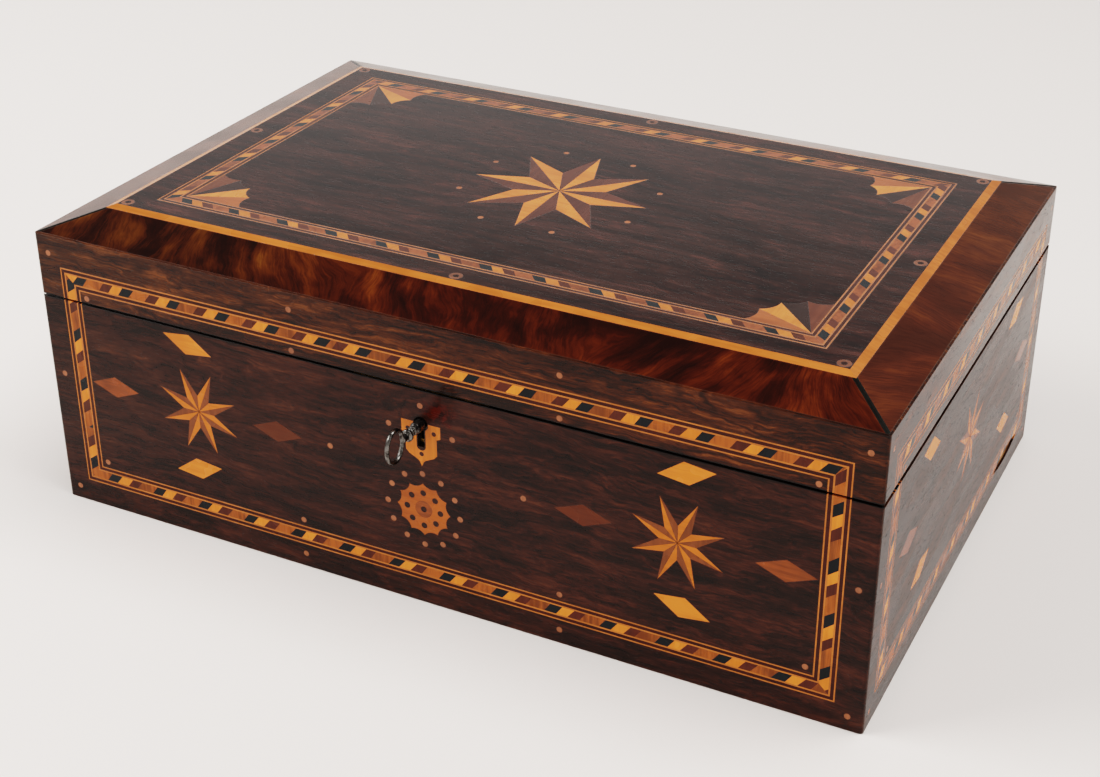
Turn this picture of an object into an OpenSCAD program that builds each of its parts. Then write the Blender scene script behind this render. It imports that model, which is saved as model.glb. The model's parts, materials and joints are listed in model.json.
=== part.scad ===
// Inlaid rosewood box with a hinged, bevelled lid, a lock and its key.
// Frame: +Z up, the front faces -Y, +X is the right-hand end. The origin is the middle of the underside.

/* [Box] */
// Width over the ends
box_w = 380; // [376:1:420]
// Depth from front to back
box_d = 250; // [246:1:280]
// Height of the joint between case and lid
case_h = 103; // [103:1:112]
// Height of the lid's upright sides above the joint
lid_side_h = 29; // [26:1:36]
// Rise of the bevel round the lid
bevel_rise = 8; // [6:0.5:10]
// Run of the bevel at the front and back, in from the side
side_run = 26.3; // [25:0.1:28]
// Run of the bevel at the two ends
end_run = 24.4; // [23:0.1:26]
// Thickness of the wall boards
board_t = 9; // [9:0.5:11]
// Thickness of the veneer, and of the inlay let into it
veneer_t = 1; // [0.8:0.1:1.2]
// Gap at the joint between case and lid
joint_gap = 1; // [0.8:0.1:1.2]
// Veneer worn away on each side of the joint at the two ends
end_relief = 0.6; // [0:0.1:0.8]
// Radius worn on the outer corners
corner_r = 1.5; // [1:0.1:2]

/* [Banding] */
// Width of the inlaid banding
band_w = 9.4; // [8:0.1:11]
// Margin from the ends of a face to its banding
band_margin = 12; // [11:0.5:14]
// Height of the lower edge of the upright faces' banding
band_low = 11.5; // [10:0.5:14]
// Height of its upper edge above the joint
band_rise = 15; // [14:0.5:17]
// Margin from the lid's outer edge to the top banding
top_margin = 37.2; // [36:0.1:40]
// Width of the stringing along the top of the bevel, in plan
string_w = 3.6; // [3:0.1:5]
// Width of the black lines on the hips of the bevel
hip_w = 2; // [1:0.1:3]

/* [Stars and lozenges] */
// Distance of the front stars from the middle
star_x = 111.3; // [108:0.1:113]
// Height of the stars on the upright faces
star_z = 64; // [60:0.5:68]
// Radius of the small stars' points
star_r = 20.6; // [16:0.1:21]
// Radius of their notches, as a share of that
star_notch = 0.38; // [0.3:0.01:0.5]
// Distance of the lid's star to the right of the middle
top_star_x = -2; // [-3:0.5:3]
// Radius of the large star on the lid
top_star_r = 42; // [30:0.5:44]
// Radius of its notches, as a share of that
top_notch = 0.485; // [0.4:0.005:0.52]
// Length of a lozenge
lozenge_l = 24.8; // [20:0.1:26]
// Width of a lozenge
lozenge_w = 10; // [8:0.1:11]
// Tilt of the yellow lozenges
lozenge_tilt = 14.5; // [0:0.5:18]
// Radius of the small dots
dot_r = 1.3; // [1:0.1:1.6]
// Radius of the fans in the corners of the lid
fan_r = 27; // [20:0.5:30]

/* [Lock and key] */
// Distance of the lock from the middle
lock_x = -1; // [-4:0.5:4]
// Drop of the key's axis below the joint
key_drop = 16; // [16:0.1:17]
// Radius of the key's barrel
barrel_r = 2.5; // [2.3:0.1:2.6]
// Reach of the key's bit from its axis
bit_r = 8; // [7.6:0.1:8]
// Distance of the bow's centre in front of the box
bow_out = 19.7; // [18:0.1:22]
// Travel of the bolt
bolt_throw = 7; // [6.6:0.1:7]
// Height of the round patera's centre
patera_z = 46.6; // [45:0.1:47]

/* [Hinges] */
// Distance of each hinge from the middle
hinge_x = 120; // [90:1:130]
// Length of each hinge
hinge_l = 40; // [36:1:50]
// Radius of the hinge pins
pin_r = 1.2; // [1:0.1:1.3]

/* [Hidden] */
$fn = 48;
half_w = box_w / 2;
half_d = box_d / 2;
band_high = case_h + band_rise;
key_z = case_h - key_drop;
case_top = case_h - joint_gap / 2;
lid_low = case_h + joint_gap / 2;
end_top = case_top - end_relief;
end_low = lid_low + end_relief;
side_top = case_h + lid_side_h;
lid_top = side_top + bevel_rise;
board_x = half_w - veneer_t;
board_y = half_d - veneer_t;
inner_x = board_x - board_t;
inner_y = board_y - board_t;
flat_x = half_w - end_run;
flat_y = half_d - side_run;
string_x = flat_x + string_w;
string_y = flat_y + string_w;
rim_t = 1;
case_board_top = case_top - rim_t;
lid_board_low = lid_low + rim_t;
panel_low = side_top - 4;
bottom_t = 8;
lining_t = 0.6;
foot_gap = 0.3;
end_star_y = 3;

// The finger slot low on the right-hand end
slot_y = 82;
slot_z = 12.6;
slot_half_l = 21.5;
slot_half_h = 2.8;
slot_depth = 6;

// The lock, by heights and by depths from the front
lock_back = -inner_y;
plate_t = 1.2;
plate_rim = 3;
lock_front = lock_back - 7.5;
selvedge_low = case_top - plate_t;
lock_left = -25.7;
lock_right = 20.7;
lock_wall = 0.9;
cap_t = 0.8;
lock_low = key_z - bit_r - 1.9;
lug_low = key_z + 5.5;
bar_low = key_z + bit_r + 0.4;
bar_high = bar_low + 3.9;
tongue_low = bar_low + 1.5;
bolt_front = lock_front + 2.3;
bolt_t = 2;
stump_x = -15;
stump_r = 1.2;
stump_z = (bar_low + bar_high) / 2;
staple_x = 12.4;
staple_w = 2;
staple_wrap = 1;
selvedge_half = 31;
keyhole_r = 3;
keyhole_low = key_z - 10.6;
keyhole_w = 3;
drill_r = 1.1;

// The hinges
hinge_y = half_d + 2;
knuckle_r = 2.6;
leaf_t = 1.4;
screw_clear = 0.05;
pin_clear = 0.02;
turn_clear = 0.05;
leaf_y = inner_y + 1;
knuckle_gap = 0.3;
knuckle_l = (hinge_l - 2 * knuckle_gap) / 3;

patera_r = 12.5;
dot_ring_r = 17;
star_turn = 22.5;
fan_step = 22.5;
fan_hollow = 1.6;
past_point = 0.4;

// ---------- placing ----------

// Lays a drawing on a face: x and y become the face's own across and up, sunk by the veneer's thickness
module on_front(depth = veneer_t) {
  translate([0, depth - half_d, 0]) rotate([90, 0, 0]) linear_extrude(depth) children();
}

module on_right(depth = veneer_t) {
  translate([half_w - depth, 0, 0]) rotate([90, 0, 90]) linear_extrude(depth) children();
}

module on_left(depth = veneer_t) {
  mirror([1, 0, 0]) on_right(depth) children();
}

module on_back(depth = veneer_t) {
  mirror([0, 1, 0]) on_front(depth) children();
}

module on_top(depth = veneer_t) {
  translate([0, 0, lid_top - depth]) linear_extrude(depth) children();
}

// A block between two corners
module block(low, high) {
  translate(low) cube(high - low);
}

// A rectangle between two corners
module rect(x0, y0, x1, y1) {
  translate([x0, y0]) square([x1 - x0, y1 - y0]);
}

// A frame round the origin, given by its outer half sizes and its width
module frame(x, y, w) {
  difference() {
    rect(-x, -y, x, y);
    rect(-x + w, -y + w, x - w, y - w);
  }
}

// The outside of the box with its worn corners, as a tall prism
module worn_prism() {
  r = corner_r;
  linear_extrude(lid_top + 10) {
    rect(-half_w + r, -half_d, half_w - r, half_d);
    rect(-half_w, -half_d + r, half_w, half_d - r);
    for (sx = [-1, 1], sy = [-1, 1])
      translate([sx * (half_w - r), sy * (half_d - r)]) circle(r);
  }
}

// ---------- inlay drawings ----------

function ray(r, a) = [r * cos(a), r * sin(a)];

module star_outline(r, notch, turn) {
  polygon([for (k = [0:7], j = [0, 1]) ray(j == 0 ? r : r * notch, turn + 45 * k + 22.5 * j)]);
}

// One half of every ray: side is 1 for the anticlockwise half and -1 for the other
module star_halves(r, notch, turn, side) {
  centre_r = 0.12;
  for (k = [0:7]) {
    a = turn + 45 * k;
    polygon([ray(centre_r, a + side * 11.25), ray(r, a), ray(r * notch, a + side * 22.5)]);
  }
}

module lozenge(tilt) {
  rotate(tilt)
    polygon([[-lozenge_l / 2, 0], [0, -lozenge_w / 2], [lozenge_l / 2, 0], [0, lozenge_w / 2]]);
}

// The banding's outline on an upright face of the given half width, from one height to another
module upright_band(half, low, high) {
  intersection() {
    translate([0, (band_low + band_high) / 2])
      frame(half - band_margin, (band_high - band_low) / 2, band_w);
    rect(-half, low, half, high);
  }
}

// The lens of the finger slot, as seen from the right
module slot_lens() {
  r = (slot_half_l * slot_half_l + slot_half_h * slot_half_h) / (2 * slot_half_h);
  translate([slot_y, slot_z]) intersection() {
    translate([0, r - slot_half_h]) circle(r, $fn = 180);
    translate([0, slot_half_h - r]) circle(r, $fn = 180);
  }
}

front_yellow = [for (s = [-1, 1], t = [-1, 1])
  [s * (star_x + 2.7), star_z + 1.3 + t * 30.5, s * t * lozenge_tilt]];
front_red = [for (d = [-40.1, 44.1], s = [-1, 1]) [s * (star_x + d), star_z + 0.8, 0]];
end_yellow = [for (s = [-1, 1], t = [-1, 1])
  [end_star_y + s * 64.5, star_z + 1 + t * 28, s * t * lozenge_tilt]];
end_red = [for (s = [-1, 1]) [end_star_y + s * 87, star_z - 0.5, 0]];

module lozenges(list) {
  for (l = list) translate([l[0], l[1]]) lozenge(l[2]);
}

module dots(list, r = dot_r) {
  for (p = list) translate(p) circle(r);
}

edge_dot = 6.5;
inner_dot = band_margin + band_w + 3.2;
low_dot = 6.7;
mid_dot = 65;
low_inner_dot = 24;
high_dot = case_h + 20.6;
high_inner_dot = case_h + 2.7;
pair_x = 61;
lock_dots = [
  [lock_x, key_z + 8.3], [lock_x - 15, key_z - 3.4], [lock_x + 14.4, key_z - 3.6],
  for (k = [0:11]) [lock_x, patera_z] + ray(dot_ring_r, 30 * k)
];
front_dots = [
  for (s = [-1, 1]) each [
    [s * (half_w - edge_dot), low_dot], [s * (half_w - edge_dot), mid_dot],
    [s * (half_w - inner_dot), low_inner_dot], [s * pair_x, low_dot], [s * pair_x, low_inner_dot],
    [s * 45, mid_dot]
  ]
];
front_lid_dots = [
  for (s = [-1, 1]) each [
    [s * (half_w - edge_dot), high_dot], [s * pair_x, high_dot + 0.8],
    [s * (half_w - inner_dot), high_inner_dot], [s * pair_x, high_inner_dot]
  ]
];
end_dots = [
  for (s = [-1, 1]) each [
    [s * (half_d - edge_dot), low_dot], [s * (half_d - edge_dot), mid_dot],
    [s * (half_d - inner_dot), low_inner_dot]
  ]
];
end_lid_dots = [
  for (s = [-1, 1]) each [
    [s * (half_d - edge_dot), high_dot], [s * (half_d - inner_dot), high_inner_dot]
  ]
];
top_dots = [for (k = [0:7]) [top_star_x, 0] + ray(top_star_r + 2.3, 22.5 + 45 * k)];
ring_r = 2.8;
ring_core_r = 1.3;
ring_in = 3.3;
top_ring_spots = [
  for (s = [-1, 1]) each [
    [0, s * (flat_y - ring_in)], [s * (flat_x - ring_in), 0],
    [s * (flat_x - ring_in), flat_y - ring_in], [s * (flat_x - ring_in), -flat_y + ring_in]
  ]
];

// Circles that hollow the edge of a round shape, which keeps points of radius r every step degrees
module hollows(r, step, hollow, first, last) {
  half_chord = r * sin(step / 2);
  hollow_r = (half_chord * half_chord + hollow * hollow) / (2 * hollow);
  for (k = [first:last])
    translate(ray(r * cos(step / 2) + hollow_r - hollow, step * (k + 0.5))) circle(hollow_r);
}

// Round patera with twelve points and hollowed edges
module patera_outline() {
  points = 12;
  step = 360 / points;
  translate([lock_x, patera_z]) difference() {
    polygon([for (k = [0:points - 1]) ray(patera_r + past_point, step * k)]);
    hollows(patera_r, step, 1.1, 0, points - 1);
  }
}

patera_dot_spots = [[lock_x, patera_z], for (k = [0:7]) [lock_x, patera_z] + ray(7.8, 45 * k)];

module patera_dots_plan() {
  for (p = patera_dot_spots) translate(p) circle(1.35);
}

// Shield with ears at its top and a small point at its foot, drawn from the key's axis
module escutcheon_outline() {
  ear_x = 9;
  body_x = 7.2;
  ear_low = -5;
  shoulder = -13.2;
  neck = -16.8;
  tip = -19.7;
  right_edge = [[ear_x, 0.5], [ear_x, ear_low], [body_x, ear_low - 0.8], [body_x, shoulder]];
  right_foot = [[5.8, shoulder - 1.6], [1.8, neck], [0.9, neck - 0.9], [0, tip]];
  half = concat(right_edge, right_foot);
  translate([lock_x, key_z])
    polygon(concat(half, [for (i = [len(half) - 2:-1:0]) [-half[i][0], half[i][1]]]));
}

escutcheon_pin_r = 1;
escutcheon_pin_spots = [for (p = [[-6, -3.3], [6, -3.3], [0, -14]]) [lock_x, key_z] + p];

// The keyhole: a round head with a straight slot below it
module keyhole(low = keyhole_low) {
  translate([lock_x, key_z]) circle(keyhole_r);
  rect(lock_x - keyhole_w / 2, low, lock_x + keyhole_w / 2, key_z);
}

// Segments first to last of a corner fan, in the corner where x and y are above 0
module fan(first, last) {
  rim = [for (k = [first:last + 1]) ray(fan_r + past_point, fan_step * k)];
  difference() {
    polygon(concat([[0, 0]], rim));
    hollows(fan_r, fan_step, fan_hollow, first, last);
  }
}

// The same segments in all four corners of the lid's banding
module fans(first, last) {
  x = half_w - top_margin - band_w;
  y = half_d - top_margin - band_w;
  for (mx = [0, 1], my = [0, 1])
    mirror([mx, 0]) mirror([0, my]) translate([-x, -y]) fan(first, last);
}

module case_front_inlay() {
  upright_band(half_w, 0, lid_top);
  for (s = [-1, 1]) translate([s * star_x, star_z]) star_outline(star_r, star_notch, star_turn);
  lozenges(front_yellow);
  lozenges(front_red);
  dots(front_dots);
  dots(lock_dots);
  patera_outline();
  escutcheon_outline();
  keyhole();
}

module case_end_inlay() {
  upright_band(half_d, 0, lid_top);
  translate([end_star_y, star_z]) star_outline(star_r, star_notch, star_turn);
  lozenges(end_yellow);
  lozenges(end_red);
  dots(end_dots);
}

// ---------- carcase ----------

module hinge_spots() {
  for (s = [-1, 1]) translate([s * hinge_x, 0, 0]) children();
}

// Room for the knuckles in the back of the case and lid
module knuckle_room() {
  hinge_spots() translate([-hinge_l / 2 - 0.3, hinge_y, case_h])
    rotate([0, 90, 0]) cylinder(r = knuckle_r + 0.3, h = hinge_l + 0.6);
}

module case_leaf_room() {
  hinge_spots() block([-hinge_l / 2, leaf_y, case_top - leaf_t],
    [hinge_l / 2, hinge_y, case_top + 1]);
}

module lid_leaf_room() {
  hinge_spots() block([-hinge_l / 2, leaf_y, lid_low - 1],
    [hinge_l / 2, hinge_y, lid_low + leaf_t]);
}

// A countersunk wood screw with its head at the origin and its shank along -Z
module screw(len, head_r, shank_r, clear = 0) {
  rotate_extrude() polygon([
    [0, 0], [head_r + clear, 0], [shank_r + clear, shank_r - head_r],
    [shank_r + clear, -len - clear], [0, -len - clear]
  ]);
}

hinge_screw_xs = [-14, 0, 14];
hinge_screw_y = (leaf_y + half_d) / 2 - 1;

module case_screws(clear = 0) {
  hinge_spots() for (x = hinge_screw_xs)
    translate([x, hinge_screw_y, case_top]) screw(9, 2.2, 1.1, clear);
}

module lid_screws(clear = 0) {
  hinge_spots() for (x = hinge_screw_xs)
    translate([x, hinge_screw_y, lid_low]) mirror([0, 0, 1]) screw(9, 2.2, 1.1, clear);
}

module lock_fixings(clear = 0) {
  for (x = [-28, 27]) {
    translate([lock_x + x, (lock_back - board_y) / 2, case_top]) screw(9, 1.9, 0.9, clear);
    translate([lock_x + x, lock_back, key_z - 4]) rotate([-90, 0, 0]) screw(5, 1.9, 0.9, clear);
  }
}

// Everything that the lock needs cut out of the front board
module lock_room() {
  block([lock_x - selvedge_half, -board_y, selvedge_low],
    [lock_x + selvedge_half, lock_back + 1, case_top + 1]);
  block([lock_x - selvedge_half, lock_back - plate_t, lock_low - plate_rim],
    [lock_x + selvedge_half, lock_back + 1, case_top]);
  block([lock_x + lock_left, lock_front, lock_low], [lock_x + lock_right, lock_back, case_top]);
  on_front(half_d + lock_front + 0.1) keyhole();
  lock_fixings(screw_clear);
}

module front_board() {
  color("tan") difference() {
    block([-board_x, -board_y, 0], [board_x, -inner_y, case_board_top]);
    lock_room();
  }
}

module back_board() {
  color("tan") difference() {
    block([-board_x, inner_y, 0], [board_x, board_y, case_board_top]);
    case_leaf_room();
    case_screws(screw_clear);
  }
}

module left_board() {
  color("burlywood") block([-board_x, -inner_y, 0], [-inner_x, inner_y, case_board_top]);
}

module right_board() {
  color("burlywood") difference() {
    block([inner_x, -inner_y, 0], [board_x, inner_y, case_board_top]);
    on_right(slot_depth) slot_lens();
  }
}

module bottom_board() {
  color("wheat") block([-inner_x, -inner_y, 0], [inner_x, inner_y, bottom_t]);
}

// Rosewood facing on the top edges of the case walls
module case_rim() {
  color("saddlebrown") difference() {
    translate([0, 0, case_board_top]) linear_extrude(rim_t) frame(board_x, board_y, board_t);
    lock_room();
    case_leaf_room();
    case_screws(screw_clear);
  }
}

module case_lining() {
  t = lining_t;
  color("firebrick") difference() {
    block([-inner_x, -inner_y, bottom_t], [inner_x, inner_y, case_board_top]);
    block([-inner_x + t, -inner_y + t, bottom_t + t], [inner_x - t, inner_y - t, case_board_top + 1]);
    block([lock_x - selvedge_half, -inner_y - 1, lock_low - plate_rim],
      [lock_x + selvedge_half, -inner_y + t, case_top]);
  }
}

module front_veneer() {
  color("saddlebrown") intersection() {
    on_front() difference() {
      rect(-half_w, foot_gap, half_w, case_top);
      case_front_inlay();
    }
    worn_prism();
  }
}

module back_veneer() {
  color("saddlebrown") difference() {
    intersection() {
      on_back() rect(-half_w, foot_gap, half_w, case_top);
      worn_prism();
    }
    knuckle_room();
    case_leaf_room();
  }
}

module end_veneers() {
  color("saddlebrown") intersection() {
    union() {
      on_right() difference() {
        rect(-board_y, foot_gap, board_y, end_top);
        case_end_inlay();
        slot_lens();
      }
      on_left() difference() {
        rect(-board_y, foot_gap, board_y, end_top);
        case_end_inlay();
      }
    }
    worn_prism();
  }
}

// ---------- inlay on the case ----------

module case_banding() {
  color("goldenrod") {
    on_front() upright_band(half_w, 0, case_top);
    on_left() upright_band(half_d, 0, end_top);
    on_right() difference() {
      upright_band(half_d, 0, end_top);
      slot_lens();
    }
  }
}

module case_stars(side) {
  on_front() for (s = [-1, 1])
    translate([s * star_x, star_z]) star_halves(star_r, star_notch, star_turn, side);
  on_right() translate([end_star_y, star_z]) star_halves(star_r, star_notch, star_turn, side);
  on_left() translate([end_star_y, star_z]) star_halves(star_r, star_notch, star_turn, side);
}

module case_stars_light() {
  color("gold") case_stars(1);
}

module case_stars_dark() {
  color("peru") case_stars(-1);
}

module yellow_lozenges() {
  color("gold") {
    on_front() lozenges(front_yellow);
    on_right() lozenges(end_yellow);
    on_left() lozenges(end_yellow);
  }
}

module red_lozenges() {
  color("sienna") {
    on_front() lozenges(front_red);
    on_right() lozenges(end_red);
    on_left() lozenges(end_red);
  }
}

module case_dots() {
  color("orange") {
    on_front() {
      dots(front_dots);
      dots(lock_dots);
    }
    on_right() dots(end_dots);
    on_left() dots(end_dots);
  }
}

patera_core_r = 3.9;

module patera() {
  color("orange") on_front() difference() {
    patera_outline();
    patera_dots_plan();
    translate([lock_x, patera_z]) circle(patera_core_r);
  }
}

module patera_ring() {
  color("sienna") on_front() translate([lock_x, patera_z]) difference() {
    circle(patera_core_r);
    circle(1.35);
  }
}

module patera_dots() {
  color("black") on_front() patera_dots_plan();
}

module escutcheon() {
  color("orange") on_front() difference() {
    escutcheon_outline();
    keyhole();
    dots(escutcheon_pin_spots, escutcheon_pin_r);
  }
}

module escutcheon_pins() {
  color("black") on_front() dots(escutcheon_pin_spots, escutcheon_pin_r);
}

// ---------- lock and key ----------

// Back plate, selvedge along the top edge, the walls of the case and the stump that guides the bolt
module lock_case() {
  color("darkgoldenrod") difference() {
    union() {
      block([lock_x - selvedge_half, lock_back - plate_t, lock_low - plate_rim],
        [lock_x + selvedge_half, lock_back, case_top]);
      block([lock_x - selvedge_half, -board_y, selvedge_low],
        [lock_x + selvedge_half, lock_back, case_top]);
      difference() {
        block([lock_x + lock_left, lock_front + cap_t, lock_low],
          [lock_x + lock_right, lock_back, case_top]);
        block([lock_x + lock_left + lock_wall, lock_front, lock_low + lock_wall],
          [lock_x + lock_right - lock_wall, lock_back - plate_t, selvedge_low]);
      }
      translate([lock_x + stump_x, lock_back - plate_t, stump_z])
        rotate([90, 0, 0]) cylinder(r = stump_r, h = 3.4);
    }
    block([lock_x + staple_x - 0.7, lock_front + 0.2, selvedge_low - 1],
      [lock_x + staple_x + staple_w + 0.7, lock_front + 5.8, case_top + 1]);
    drill_rod();
    lock_fixings(screw_clear);
  }
}

// Thin cover on the front of the lock, with the keyhole in it
module lock_cap() {
  color("goldenrod") translate([0, lock_front + cap_t, 0])
    rotate([90, 0, 0]) linear_extrude(cap_t) difference() {
      rect(lock_x + lock_left, lock_low, lock_x + lock_right, selvedge_low);
      keyhole(key_z - bit_r - 0.4);
    }
}

// Leaf spring over the bolt: a low arch with a flat pad, riveted under the selvedge
module lock_spring() {
  arch_r = 60;
  arch_t = 0.4;
  half_l = 11;
  color("gray") translate([lock_x - 8, bolt_front + bolt_t, 0])
    rotate([90, 0, 0]) linear_extrude(bolt_t) {
      intersection() {
        translate([0, selvedge_low - 0.1 - arch_r]) difference() {
          circle(arch_r, $fn = 180);
          circle(arch_r - arch_t, $fn = 180);
        }
        rect(-half_l, bar_high, half_l, selvedge_low);
      }
      rect(-2, selvedge_low - arch_t, 2, selvedge_low);
    }
}

// Round rod on the key's axis, from inside the back plate to just short of the front
module drill_rod() {
  translate([lock_x, lock_back - plate_t / 2, key_z]) rotate([90, 0, 0]) cylinder(r = drill_r, h = 8.4);
}

// Pin that the hollow key turns on
module drill_pin() {
  color("gray") drill_rod();
}

module lock_screws() {
  color("silver") lock_fixings();
}

// Sliding bolt, drawn back: a bar with two lugs that the bit pushes, and a tongue for the staple
module lock_bolt() {
  lug_mid = -bolt_throw / 2;
  lug_in = 6.3;
  lug_w = 3;
  bar_end = 5;
  tongue_end = staple_x - 0.7;
  slot_r = stump_r + 0.15;
  color("silver") translate([lock_x, bolt_front + bolt_t, 0])
    rotate([90, 0, 0]) linear_extrude(bolt_t) difference() {
      union() {
        rect(stump_x - bolt_throw - 2.3, bar_low, bar_end, bar_high);
        rect(lug_mid - lug_in - lug_w, lug_low, lug_mid - lug_in, bar_low);
        rect(lug_mid + lug_in, lug_low, bar_end, bar_low);
        rect(bar_end, tongue_low, tongue_end, bar_high);
      }
      for (x = [stump_x - bolt_throw, stump_x]) translate([x, stump_z]) circle(slot_r);
      rect(stump_x - bolt_throw, stump_z - slot_r, stump_x, stump_z + slot_r);
    }
}

// Key: hollow barrel with a bit, three turned collars and an oval bow
bow_w = 13;
bow_h = 15.4;
bow_t = 2;

// Stadium shape of the bow, drawn in by a margin
module bow_outline(margin) {
  r = bow_w / 2 - margin;
  rise = (bow_h - bow_w) / 2;
  for (s = [-1, 1]) translate([0, s * rise]) circle(r);
  rect(-r, -rise, r, rise);
}

module key() {
  tip_y = lock_back - plate_t - 0.4;
  stem_r = 1.5;
  barrel_end = tip_y + half_d + 5.2;
  stem_end = tip_y + half_d + bow_out - bow_w / 2 + 1.2;
  bit_l = 4.4;
  bit_half_t = 1;
  collars = [[6.2, 2.1, 1.1], [8, 1.9, 0.8], [10.2, 2.7, 1.8]];
  color("dimgray") difference() {
    union() {
      translate([lock_x, tip_y, key_z]) rotate([90, 0, 0]) rotate_extrude() polygon([
        [0, 0], [barrel_r, 0], [barrel_r, barrel_end - 1], [stem_r, barrel_end],
        [stem_r, stem_end], [0, stem_end]
      ]);
      for (c = collars) translate([lock_x, -half_d - c[0] + c[2] / 2, key_z])
        rotate([90, 0, 0]) cylinder(r = c[1], h = c[2]);
      block([lock_x - bit_half_t, tip_y - 0.2 - bit_l, key_z - bit_r],
        [lock_x + bit_half_t, tip_y - 0.2, key_z]);
      translate([lock_x - bow_t / 2, -half_d - bow_out, key_z])
        rotate([90, 0, 90]) linear_extrude(bow_t) difference() {
          bow_outline(0);
          bow_outline(bow_t);
        }
    }
    translate([lock_x, tip_y + 1, key_z]) rotate([90, 0, 0])
      cylinder(r = drill_r + turn_clear, h = 9.5);
  }
}

// ---------- hinges ----------

// A stretch of knuckle round the pin, bored to the given radius
module knuckle(x0, len, bore_r) {
  translate([x0, hinge_y, case_h]) rotate([0, 90, 0]) difference() {
    cylinder(r = knuckle_r, h = len);
    translate([0, 0, -1]) cylinder(r = bore_r, h = len + 2);
  }
}

// The bore of a whole hinge, to clear the leaves of it
module pin_bore(r) {
  translate([-hinge_l / 2 - 1, hinge_y, case_h]) rotate([0, 90, 0]) cylinder(r = r, h = hinge_l + 2);
}

module case_hinge_leaves() {
  outer = hinge_l / 2 - knuckle_l;
  color("goldenrod") difference() {
    hinge_spots() difference() {
      union() {
        block([-hinge_l / 2, leaf_y, case_top - leaf_t], [hinge_l / 2, half_d - 0.9, case_top]);
        for (x = [-hinge_l / 2, outer]) {
          block([x, half_d - 1, case_top - leaf_t], [x + knuckle_l, hinge_y, case_top]);
          knuckle(x, knuckle_l, pin_r + pin_clear);
        }
      }
      pin_bore(pin_r + pin_clear);
    }
    case_screws(screw_clear);
  }
}

module lid_hinge_leaves() {
  color("goldenrod") difference() {
    hinge_spots() difference() {
      union() {
        block([-hinge_l / 2, leaf_y, lid_low], [hinge_l / 2, half_d - 0.9, lid_low + leaf_t]);
        block([-knuckle_l / 2, half_d - 1, lid_low], [knuckle_l / 2, hinge_y, lid_low + leaf_t]);
        knuckle(-knuckle_l / 2, knuckle_l, pin_r + turn_clear);
      }
      pin_bore(pin_r + turn_clear);
    }
    lid_screws(screw_clear);
  }
}

module hinge_pins() {
  color("darkgoldenrod") hinge_spots() translate([-hinge_l / 2, hinge_y, case_h]) rotate([0, 90, 0])
    cylinder(r = pin_r, h = hinge_l);
}

module case_hinge_screws() {
  color("khaki") case_screws();
}

module lid_hinge_screws() {
  color("khaki") lid_screws();
}

// ---------- lid ----------

// The lid's outside as one solid, lowered by a drop: two roof profiles crossed, so that the hips are mitred
module crown(drop) {
  low = lid_low - 1;
  intersection() {
    translate([0, half_d + 1, 0]) rotate([90, 0, 0]) linear_extrude(box_d + 2) polygon([
      [-half_w, low], [half_w, low], [half_w, side_top - drop], [flat_x, lid_top - drop],
      [-flat_x, lid_top - drop], [-half_w, side_top - drop]
    ]);
    translate([-half_w - 1, 0, 0]) rotate([90, 0, 90]) linear_extrude(box_w + 2) polygon([
      [-half_d, low], [half_d, low], [half_d, side_top - drop], [flat_y, lid_top - drop],
      [-flat_y, lid_top - drop], [-half_d, side_top - drop]
    ]);
  }
}

module link_screws(clear = 0) {
  for (x = [-20, 22]) translate([lock_x + x, (lock_back - board_y) / 2, lid_low])
    mirror([0, 0, 1]) screw(8, 1.9, 0.9, clear);
}

link_half = 26;
link_t = 1.2;

module link_room() {
  block([lock_x - link_half, -board_y, lid_low - 1], [lock_x + link_half, lock_back, lid_low + link_t]);
}

module lid_front_rail() {
  color("tan") difference() {
    block([-board_x, -board_y, lid_board_low], [board_x, -inner_y, panel_low]);
    link_room();
    link_screws(screw_clear);
  }
}

module lid_back_rail() {
  color("tan") difference() {
    block([-board_x, inner_y, lid_board_low], [board_x, board_y, panel_low]);
    lid_leaf_room();
    lid_screws(screw_clear);
  }
}

module lid_left_rail() {
  color("burlywood") block([-board_x, -inner_y, lid_board_low], [-inner_x, inner_y, panel_low]);
}

module lid_right_rail() {
  color("burlywood") block([inner_x, -inner_y, lid_board_low], [board_x, inner_y, panel_low]);
}

module lid_panel() {
  color("wheat") intersection() {
    crown(veneer_t);
    block([-board_x, -board_y, panel_low], [board_x, board_y, lid_top]);
  }
}

// Rosewood facing under the edges of the lid
module lid_rim() {
  color("saddlebrown") difference() {
    translate([0, 0, lid_low]) linear_extrude(rim_t) frame(board_x, board_y, board_t);
    link_room();
    link_screws(screw_clear);
    lid_leaf_room();
    lid_screws(screw_clear);
  }
}

module lid_lining() {
  t = lining_t;
  color("firebrick") difference() {
    block([-inner_x, -inner_y, lid_board_low], [inner_x, inner_y, panel_low]);
    block([-inner_x + t, -inner_y + t, lid_board_low - 1], [inner_x - t, inner_y - t, panel_low - t]);
  }
}

module lid_veneers() {
  color("saddlebrown") difference() {
    intersection() {
      union() {
        on_front() difference() {
          rect(-half_w, lid_low, half_w, lid_top);
          upright_band(half_w, 0, lid_top);
          dots(front_lid_dots);
        }
        on_back() rect(-half_w, lid_low, half_w, lid_top);
        for (m = [0, 1]) mirror([m, 0, 0]) on_right() difference() {
          rect(-board_y, end_low, board_y, lid_top);
          upright_band(half_d, 0, lid_top);
          dots(end_lid_dots);
        }
      }
      crown(0);
      worn_prism();
    }
    knuckle_room();
    lid_leaf_room();
  }
}

module lid_banding() {
  color("goldenrod") {
    on_front() upright_band(half_w, lid_low, lid_top);
    on_right() upright_band(half_d, end_low, lid_top);
    on_left() upright_band(half_d, end_low, lid_top);
  }
}

module lid_dots() {
  color("orange") {
    on_front() dots(front_lid_dots);
    on_right() dots(end_lid_dots);
    on_left() dots(end_lid_dots);
    on_top() dots(top_dots);
  }
}

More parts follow.
